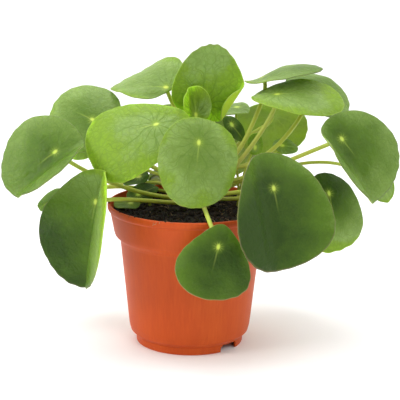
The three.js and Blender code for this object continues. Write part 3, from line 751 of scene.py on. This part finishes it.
LEAF_SKINS = [leaf_upper(), leaf_under()]
PETIOLE_SKIN = petiole_skin()
STEM_BARK = stem_bark()
STIPULE = dry_skin("stipule", (0.12, 0.065, 0.028), (0.30, 0.19, 0.09), 600.0, 0.7)
PEAT = peat()
CRUMB = dry_skin("crumb", (0.008, 0.006, 0.004), (0.055, 0.036, 0.022), 700.0, 0.95)
FIBRE = dry_skin("fibre", (0.16, 0.10, 0.05), (0.42, 0.30, 0.17), 300.0, 0.85)
POT_PLASTIC = pot_plastic()

# ---- leaves and petioles

BLADE_SIDES, BLADE_RINGS = 144, 26
SMALL_SIDES, SMALL_RINGS = 84, 18
PETIOLE_SIDES, PETIOLE_STEPS = 14, 60
SWAY = 0.35


def petiole_radii(count, radius):
    """Swollen where it leaves the stem, slender in the middle, flared under the hub."""
    t = np.linspace(0, 1, count)
    radii = radius * (1.02 - 0.1 * t)
    radii += radius * 0.4 * np.exp(-t / 0.035)
    radii += radius * 0.3 * np.exp(-(1 - t) / 0.018)
    return radii


def make_leaf(index, name, leaf):
    sides, rings = (SMALL_SIDES, SMALL_RINGS) if leaf["small"] else (BLADE_SIDES, BLADE_RINGS)
    parts = Parts()
    add_blade(parts, leaf, sides, rings, BLADE_THICKNESS, index)
    slot_name = "young_leaf" if leaf["young"] else "leaf"
    parts.object("leaf_" + name, "blade_" + name, slot_name, LEAF_SKINS)

    radius = PETIOLE_RADIUS * (0.8 if leaf["small"] or leaf["young"] else 1)
    path = petiole_path(leaf, PETIOLE_STEPS)
    t = np.linspace(0, 1, PETIOLE_STEPS)
    sway = np.sin(pi * t)[:, None] * np.stack(
        (np.sin(5 * t + index), np.sin(6 * t + 2 * index), np.zeros_like(t)), -1)
    parts = Parts()
    add_tube(parts, path + SWAY * sway, petiole_radii(PETIOLE_STEPS, radius), PETIOLE_SIDES, 0,
             leaf["tone"], leaf["brown"], index)
    parts.object("stalk_" + name, "petiole_" + name, "petiole", [PETIOLE_SKIN])


for index, (name, leaf) in enumerate(LEAVES.items()):
    make_leaf(index, name, leaf)


# ---- shoots

SHOOT_RADIUS = 1.6
SHOOT_SIDES, SHOOT_STEPS = 14, 12
TWIG_RADIUS = 0.9
TWIG_SIDES, TWIG_STEPS = 10, 24
TINY_SIDES, TINY_RINGS = 48, 10
TINY_THICKNESS = 0.7
TINY_HUB = 0.3


def make_shoot(index, name, shoot):
    parts = Parts()
    foot, tip = np.array(shoot["foot"], float), np.array(shoot["tip"], float)
    t = np.linspace(0, 1, SHOOT_STEPS)
    bulge = SHOOT_RADIUS * (1 - 0.25 * t + 0.12 * np.sin(14 * t))
    add_tube(parts, foot + (tip - foot) * t[:, None], bulge, SHOOT_SIDES, 2, 0.5, 0.35, index)
    for order, plain in enumerate(shoot["leaves"]):
        leaf = dict(plain, hub=TINY_HUB)
        add_blade(parts, leaf, TINY_SIDES, TINY_RINGS, TINY_THICKNESS, index + order)
        normal, hub = leaf_axes(leaf["face"])[2], np.array(leaf["at"], float)
        middle = tip + 0.3 * (hub - tip)
        middle[2] = 0.4 * tip[2] + 0.6 * hub[2]
        path = pulled_curve((tip - (0, 0, 1.2), middle, hub - 6 * normal, hub - 0.4 * normal),
                            np.linspace(0, 1, TWIG_STEPS))
        add_tube(parts, path, petiole_radii(TWIG_STEPS, TWIG_RADIUS), TWIG_SIDES, 2, 0.6, 0.1,
                 index + order)
    parts.object("young_" + name, name, "young_leaf", LEAF_SKINS + [PETIOLE_SKIN])


for index, (name, shoot) in enumerate(SHOOTS.items()):
    make_shoot(index, name, shoot)


# ---- stem

STEM_SIDES, STEM_STEPS = 28, 110
SCALE_LENGTH = 6.0
SCALE_HALF_WIDTH = 2.3
SCALE_HALF_DEPTH = 0.12
SCALE_ROWS = 7


def add_scale(parts, share, turn, length, seed):
    """A papery scale that stands off the stem, pointed and cupped."""
    before, centre, after = stem_axis(share - 0.002, share, share + 0.002)
    way = unit(after - before)
    side = unit(np.cross(way, (cos(turn), sin(turn), 0.2)))
    out = np.cross(side, way)
    points, last = [], SCALE_ROWS - 1
    for skin in (SCALE_HALF_DEPTH, -SCALE_HALF_DEPTH):
        for i in range(SCALE_ROWS):
            s = i / last
            half = SCALE_HALF_WIDTH * sqrt(max(0.0, 1 - s ** 1.6))
            for j in range(SCALE_ROWS):
                w = (j / last - 0.5) * 2
                away = STEM_RADIUS - 0.5 + 1.9 * s ** 1.4 - 0.8 * w * w * (1 - s) + skin
                crinkle = 0.25 * sin(9 * s + 3 * w + seed)
                points.append(centre + way * s * length + side * (w * half)
                              + out * (away + crinkle))
    grid = SCALE_ROWS ** 2
    faces = []
    for a in (i * SCALE_ROWS + j for i in range(last) for j in range(last)):
        quad = (a, a + 1, a + SCALE_ROWS + 1, a + SCALE_ROWS)
        faces += [quad, tuple(grid + index for index in quad[::-1])]
    edge = (list(range(SCALE_ROWS)) + [i * SCALE_ROWS + last for i in range(1, SCALE_ROWS)]
            + [last * SCALE_ROWS + j for j in range(last - 1, -1, -1)]
            + [i * SCALE_ROWS for i in range(last - 1, 0, -1)])
    faces += [(b, a, grid + a, grid + b) for a, b in zip(edge, edge[1:] + edge[:1])]
    parts.add(points, faces, 1)


def make_stem():
    """A stem with a ring and a scale where each petiole leaves it."""
    parts = Parts()
    t = np.linspace(0, 1, STEM_STEPS)
    turns = ring_turns(STEM_SIDES)
    radii = np.ones((STEM_STEPS, STEM_SIDES)) * (STEM_RADIUS * (1 - 0.16 * t))[:, None]
    radii *= 1 - 0.25 * smoothstep(t, 0.97, 1.0)[:, None]
    for order, leaf in enumerate(LEAVES.values()):
        ring = np.exp(-((t - leaf["root"]) / 0.012) ** 2)[:, None]
        radii += 0.22 * ring * (1 + 0.6 * np.cos(turns - 2.4 * order))
    radii += 0.12 * np.sin(23 * t)[:, None] * np.cos(3 * turns)
    add_tube(parts, stem_axis(*t), radii, STEM_SIDES, 0, 0.5, 0, 0)
    for order, leaf in enumerate(LEAVES.values()):
        root = leaf["root"]
        away = np.array(leaf["pulls"][0], float) - stem_axis(root)[0]
        turn = atan2(away[1], away[0]) - pi / 2 + 0.6 * sin(order)
        add_scale(parts, root + 0.01, turn, SCALE_LENGTH * (0.7 + 0.1 * (order % 4)), order)
    parts.object("stem", "main_stem", "stem", [STEM_BARK, STIPULE])


make_stem()


# ---- soil

SOIL_SIDES, SOIL_RINGS = 132, 44
SOIL_RADIUS = RIM_RADIUS - 3.9
SOIL_MOUND = 1.2
SOIL_GAP = 0.3
CRUMBS = 1100
FIBRES = 90
FIBRE_SIDES, FIBRE_STEPS, FIBRE_BENDS = 6, 24, 9
FRONT_LEFT = radians(-114)
LEFT = radians(184)
RIM_CRUMBS = ((LEFT, 0.2), (LEFT + 0.03, 0.3), (LEFT - 0.04, 0.1), (LEFT + 0.5, 0.2),
              (FRONT_LEFT - 0.3, 0.1), (FRONT_LEFT + 0.12, 0.2), (radians(60), 0.2),
              (radians(20), 0.1))
RIM_FIBRES = ((FRONT_LEFT, 3.0), (FRONT_LEFT - 0.03, 4.2), (FRONT_LEFT + 0.05, 2.0))
rng = np.random.default_rng(SEED)


def soil_height(x, y):
    lumps = sin(0.21 * x + 1.3) * cos(0.27 * y) + 0.5 * sin(0.47 * x - 0.39 * y)
    share = min(1.0, hypot(x, y) / SOIL_RADIUS)
    rough = sum(size * noise.noise(Vector((x, y, layer)) * scale)
                for size, layer, scale in ((0.9, 0, 0.22), (0.7, 3, 0.6), (0.35, 9, 1.5)))
    return SOIL_LEVEL + SOIL_MOUND * (1 - share) + 0.7 * lumps + rough


def on_soil(radius, turn, lift=0.0):
    x, y, _ = polar(radius, turn)
    return x, y, soil_height(x, y) + lift


def icosphere():
    form = bmesh.new()
    bmesh.ops.create_icosphere(form, subdivisions=2, radius=1.0)
    form.verts.ensure_lookup_table()
    points = np.array([vertex.co[:] for vertex in form.verts])
    faces = [tuple(vertex.index for vertex in face.verts) for face in form.faces]
    form.free()
    return points, faces


def crumpled(points, amount, low, high):
    """Points moved in or out by random shares."""
    return points * (1 + amount * rng.normal(size=(len(points), 1))).clip(low, high)


def turned(points):
    """Points turned by a random rotation."""
    axes, _ = np.linalg.qr(rng.normal(size=(3, 3)))
    if np.linalg.det(axes) < 0:
        axes[:, 0] *= -1
    return points @ axes.T


def add_fibre(parts, pulls, radius, taper, seed):
    t = np.linspace(0, 1, FIBRE_STEPS)
    add_tube(parts, pulled_curve(pulls, t), radius * (1 - taper * t), FIBRE_SIDES, 2, 0, 0, seed)


def make_soil():
    """The root ball inside the pot, then its crumbs and fibres and those on the rim."""
    parts = Parts()
    cavity = [(radius - SOIL_GAP, z + (SOIL_GAP if z < 2 * FOOT_HEIGHT else 0))
              for radius, z in INNER_WALL if z < SOIL_LEVEL][::-1]
    rows = [(0.05, FLOOR + SOIL_GAP)] + cavity
    turns = ring_turns(SOIL_SIDES)
    points = [polar(radius, turn, z) for radius, z in rows for turn in turns]
    points += [on_soil(SOIL_RADIUS * (1 - ring / SOIL_RINGS), turn)
               for ring in range(SOIL_RINGS) for turn in turns]
    last = len(points) - SOIL_SIDES
    points.append(on_soil(0, 0))
    faces = [tuple(range(SOIL_SIDES))[::-1], *ring_faces(len(rows) + SOIL_RINGS, SOIL_SIDES)]
    faces += [(last + i, last + (i + 1) % SOIL_SIDES, last + SOIL_SIDES)
              for i in range(SOIL_SIDES)]
    parts.add(points, faces, 0)

    ball, ball_faces = icosphere()
    for order in range(CRUMBS):
        radius = (SOIL_RADIUS - 0.8) * sqrt(rng.random())
        turn = rng.random() * 2 * pi
        size = min(2.4, 0.45 + 0.35 * rng.gamma(1.6))
        shape = turned(crumpled(ball, 0.28, 0.5, 1.6) * rng.uniform(0.6, 1.25, 3))
        parts.add(shape * size + on_soil(radius, turn, 0.25 * size), ball_faces,
                  1 if order % 3 else 0)
    for order, (turn, lift) in enumerate(RIM_CRUMBS):
        shape = turned(crumpled(ball, 0.25, 0.6, 1.5))
        place = polar(RIM_RADIUS - 1, turn, POT_HEIGHT + lift)
        parts.add(shape * (0.45 + 0.1 * (order % 3)) + place, ball_faces, 1)

    for order in range(FIBRES):
        radius, turn = (SOIL_RADIUS - 6) * sqrt(rng.random()), rng.random() * 2 * pi
        start = np.array(polar(radius, turn)[:2])
        way, length = rng.random() * 2 * pi, rng.uniform(4, 11)
        path = []
        for bend in range(FIBRE_BENDS):
            x, y = start
            arch = 1.1 * sin(bend * pi / (FIBRE_BENDS - 1))
            path.append((x, y, soil_height(x, y) + 0.2 + arch))
            way += rng.normal() * 0.4
            start = start + length / FIBRE_BENDS * np.array((cos(way), sin(way)))
            start *= min(1.0, (SOIL_RADIUS - 1) / max(1.0, float(np.hypot(*start))))
        add_fibre(parts, path, rng.uniform(0.1, 0.22), 0.5, order)
    for order, (turn, drop) in enumerate(RIM_FIBRES):
        out = np.array(polar(1, turn))
        side = np.array((-out[1], out[0], 0.0))
        inside = out * (RIM_RADIUS - 7) + (0, 0, SOIL_LEVEL + 1)
        over = out * (RIM_RADIUS - 0.5) + (0, 0, POT_HEIGHT + 3.5)
        down = out * (RIM_RADIUS + 1.6) + side * (2.5 - order) + (0, 0, POT_HEIGHT - drop)
        end = down + side * (1.5 * order - 2.5) + (0, 0, 1.2)
        add_fibre(parts, (inside, over, down, end), 0.2, 0.4, order)
    parts.object("soil", "soil_root_ball", "soil", [PEAT, CRUMB, FIBRE])


make_soil()

# ---- pot

POT_SIDES = 216
CORNER_RADIUS = 0.55
CORNER_STEPS = 4
SHARP_ANGLE = 32


def rounded(profile):
    """The profile with each inner corner cut back and rounded."""
    points = [np.array(point, float) for point in profile]
    result = [points[0]]
    for before, corner, after in zip(points, points[1:], points[2:]):
        back, ahead = before - corner, after - corner
        room = 0.45 * min(np.linalg.norm(back), np.linalg.norm(ahead))
        cut = min(CORNER_RADIUS, room)
        start, end = corner + unit(back) * cut, corner + unit(ahead) * cut
        for step in range(CORNER_STEPS + 1):
            s = step / CORNER_STEPS
            result.append(start * (1 - s) ** 2 + corner * 2 * s * (1 - s) + end * s ** 2)
    result.append(points[-1])
    return result


def notch(form):
    size = Matrix.Diagonal((NOTCH_WIDTH, NOTCH_DEPTH, NOTCH_SPAN, 1))
    bmesh.ops.create_cube(form, size=1.0, matrix=size)
    uprights = [edge for edge in form.edges if abs(edge.verts[0].co.y - edge.verts[1].co.y) > 1]
    bmesh.ops.bevel(form, geom=uprights, offset=1.2, segments=4, affect="EDGES")


def drain(form):
    bmesh.ops.create_cone(form, cap_ends=True, segments=32, radius1=DRAIN_RADIUS,
                          radius2=DRAIN_RADIUS, depth=4)


def cutter(build, place):
    """A tool that is cut out of the pot: its form in mm, moved to its place in metres."""
    form = bmesh.new()
    build(form)
    bmesh.ops.scale(form, vec=(MM, MM, MM), verts=form.verts)
    form.transform(place)
    mesh = bpy.data.meshes.new("cutter")
    form.to_mesh(mesh)
    form.free()
    return linked("cutter", mesh)


def make_pot():
    profile = rounded(((0, 0), *UNDER_FLOOR, *OUTER_WALL, *INNER_WALL, (0, FLOOR)))[1:-1]
    points = [(0, 0, 0), (0, 0, FLOOR)]
    points += [polar(radius, turn, z) for radius, z in profile for turn in ring_turns(POT_SIDES)]
    faces = ring_faces(len(profile), POT_SIDES, first=2)
    last = len(points) - POT_SIDES
    for i in range(POT_SIDES):
        after = (i + 1) % POT_SIDES
        faces += [(0, 2 + after, 2 + i), (1, last + i, last + after)]
    pot = mesh_object("pot_body", points, faces, "pot", "pot_plastic", [POT_PLASTIC])

    outwards = Matrix.Translation((0, -FOOT_RADIUS * MM, 0))
    tools = [cutter(notch, Matrix.Rotation(radians(azimuth), 4, "Z") @ outwards)
             for azimuth in NOTCH_AZIMUTHS]
    for turn in ring_turns(DRAIN_HOLES):
        middle = Vector(polar(DRAIN_CIRCLE, turn, FOOT_HEIGHT + FLOOR / 2)) * MM
        tools.append(cutter(drain, Matrix.Translation(middle)))
    for tool in tools:
        cut = pot.modifiers.new("cut", "BOOLEAN")
        cut.operation = "DIFFERENCE"
        cut.object = tool
    depsgraph = bpy.context.evaluated_depsgraph_get()
    mesh = bpy.data.meshes.new_from_object(pot.evaluated_get(depsgraph))
    pot.modifiers.clear()
    pot.data = mesh
    for tool in tools:
        bpy.data.objects.remove(tool)
    mesh.polygons.foreach_set("use_smooth", np.ones(len(mesh.polygons), bool))
    mesh.set_sharp_from_angle(angle=radians(SHARP_ANGLE))


make_pot()

# ---- floor, light and camera

FLOOR_HALF = 8000.0
FLOOR_DEPTH = 0.1

# the sky's strength rises from the third number to the fourth while the direction's depth or
# height goes from the first to the second
SKY_DEPTH = (-1.0, 0.6, 0.0, 0.65)
SKY_HEIGHT = (0.0, 1.0, 0.0, 0.9)

# where each lamp stands in metres, its diameter and its power
LAMPS = {
    "key": ((-1.4, -0.55, 0.85), 0.9, 12.5),
    "front": ((0.5, -1.3, 1.0), 1.0, 4.5),
    "fill": ((1.4, -0.2, 0.8), 0.9, 3.0),
    "top": ((-0.25, 0.35, 1.65), 1.0, 11.0),
}
LAMP_AIM = (0, 0, 0.12)

CAMERA_AT = (0, -1.1, 0.3773)
CAMERA_AIM = (0.0066, 0, 0.1048)
CAMERA_ROLL = -0.75
FOCAL_PIXELS = 1572.0
IMAGE_PIXELS = 400.0
SENSOR = 36.0


def make_floor():
    mesh = bpy.data.meshes.new("floor")
    corners = [(x * FLOOR_HALF * MM, y * FLOOR_HALF * MM, -FLOOR_DEPTH * MM)
               for x, y in ((-1, -1), (1, -1), (1, 1), (-1, 1))]
    mesh.from_pydata(corners, [], [(0, 1, 2, 3)])
    mesh.materials.append(floor_finish())
    floor = linked("floor", mesh)


def make_light():
    """A bright sky that is dimmer towards the front, and large soft lamps round the plant."""
    world = bpy.data.worlds.new("studio")
    sky = Shade(world)
    way = sky.node("TexCoord", output="Generated")
    depth, height = (
        sky.node("MapRange", enumerate((sky.node("SeparateXYZ", {0: way}, axis), *span)))
        for axis, span in ((1, SKY_DEPTH), (2, SKY_HEIGHT)))
    background = sky.tree.nodes["Background"]
    sky.feed(background.inputs["Color"], (1, 1, 1))
    sky.feed(background.inputs["Strength"], depth + height)
    bpy.context.scene.world = world
    for name, (at, size, power) in LAMPS.items():
        lamp = bpy.data.lights.new(name, "AREA")
        lamp.shape = "DISK"
        lamp.size = size
        lamp.energy = power
        holder = linked(name, lamp)
        holder.location = at
        holder.rotation_euler = (Vector(LAMP_AIM) - Vector(at)).to_track_quat("-Z", "Y").to_euler()
    bpy.context.scene.view_settings.view_transform = "Standard"


def make_camera():
    ahead = (Vector(CAMERA_AIM) - Vector(CAMERA_AT)).normalized()
    level = ahead.cross((0, 0, 1)).normalized()
    upright = level.cross(ahead)
    roll = radians(CAMERA_ROLL)
    right = level * cos(roll) - upright * sin(roll)
    up = right.cross(ahead)
    lens = bpy.data.cameras.new("camera")
    lens.sensor_width = SENSOR
    lens.lens = FOCAL_PIXELS / IMAGE_PIXELS * SENSOR
    lens.clip_start, lens.clip_end = 0.05, 50
    camera = linked("camera", lens)
    turn = Matrix((right, up, -ahead)).transposed().to_4x4()
    camera.matrix_world = Matrix.Translation(CAMERA_AT) @ turn
    bpy.context.scene.camera = camera


make_floor()
make_light()
make_camera()
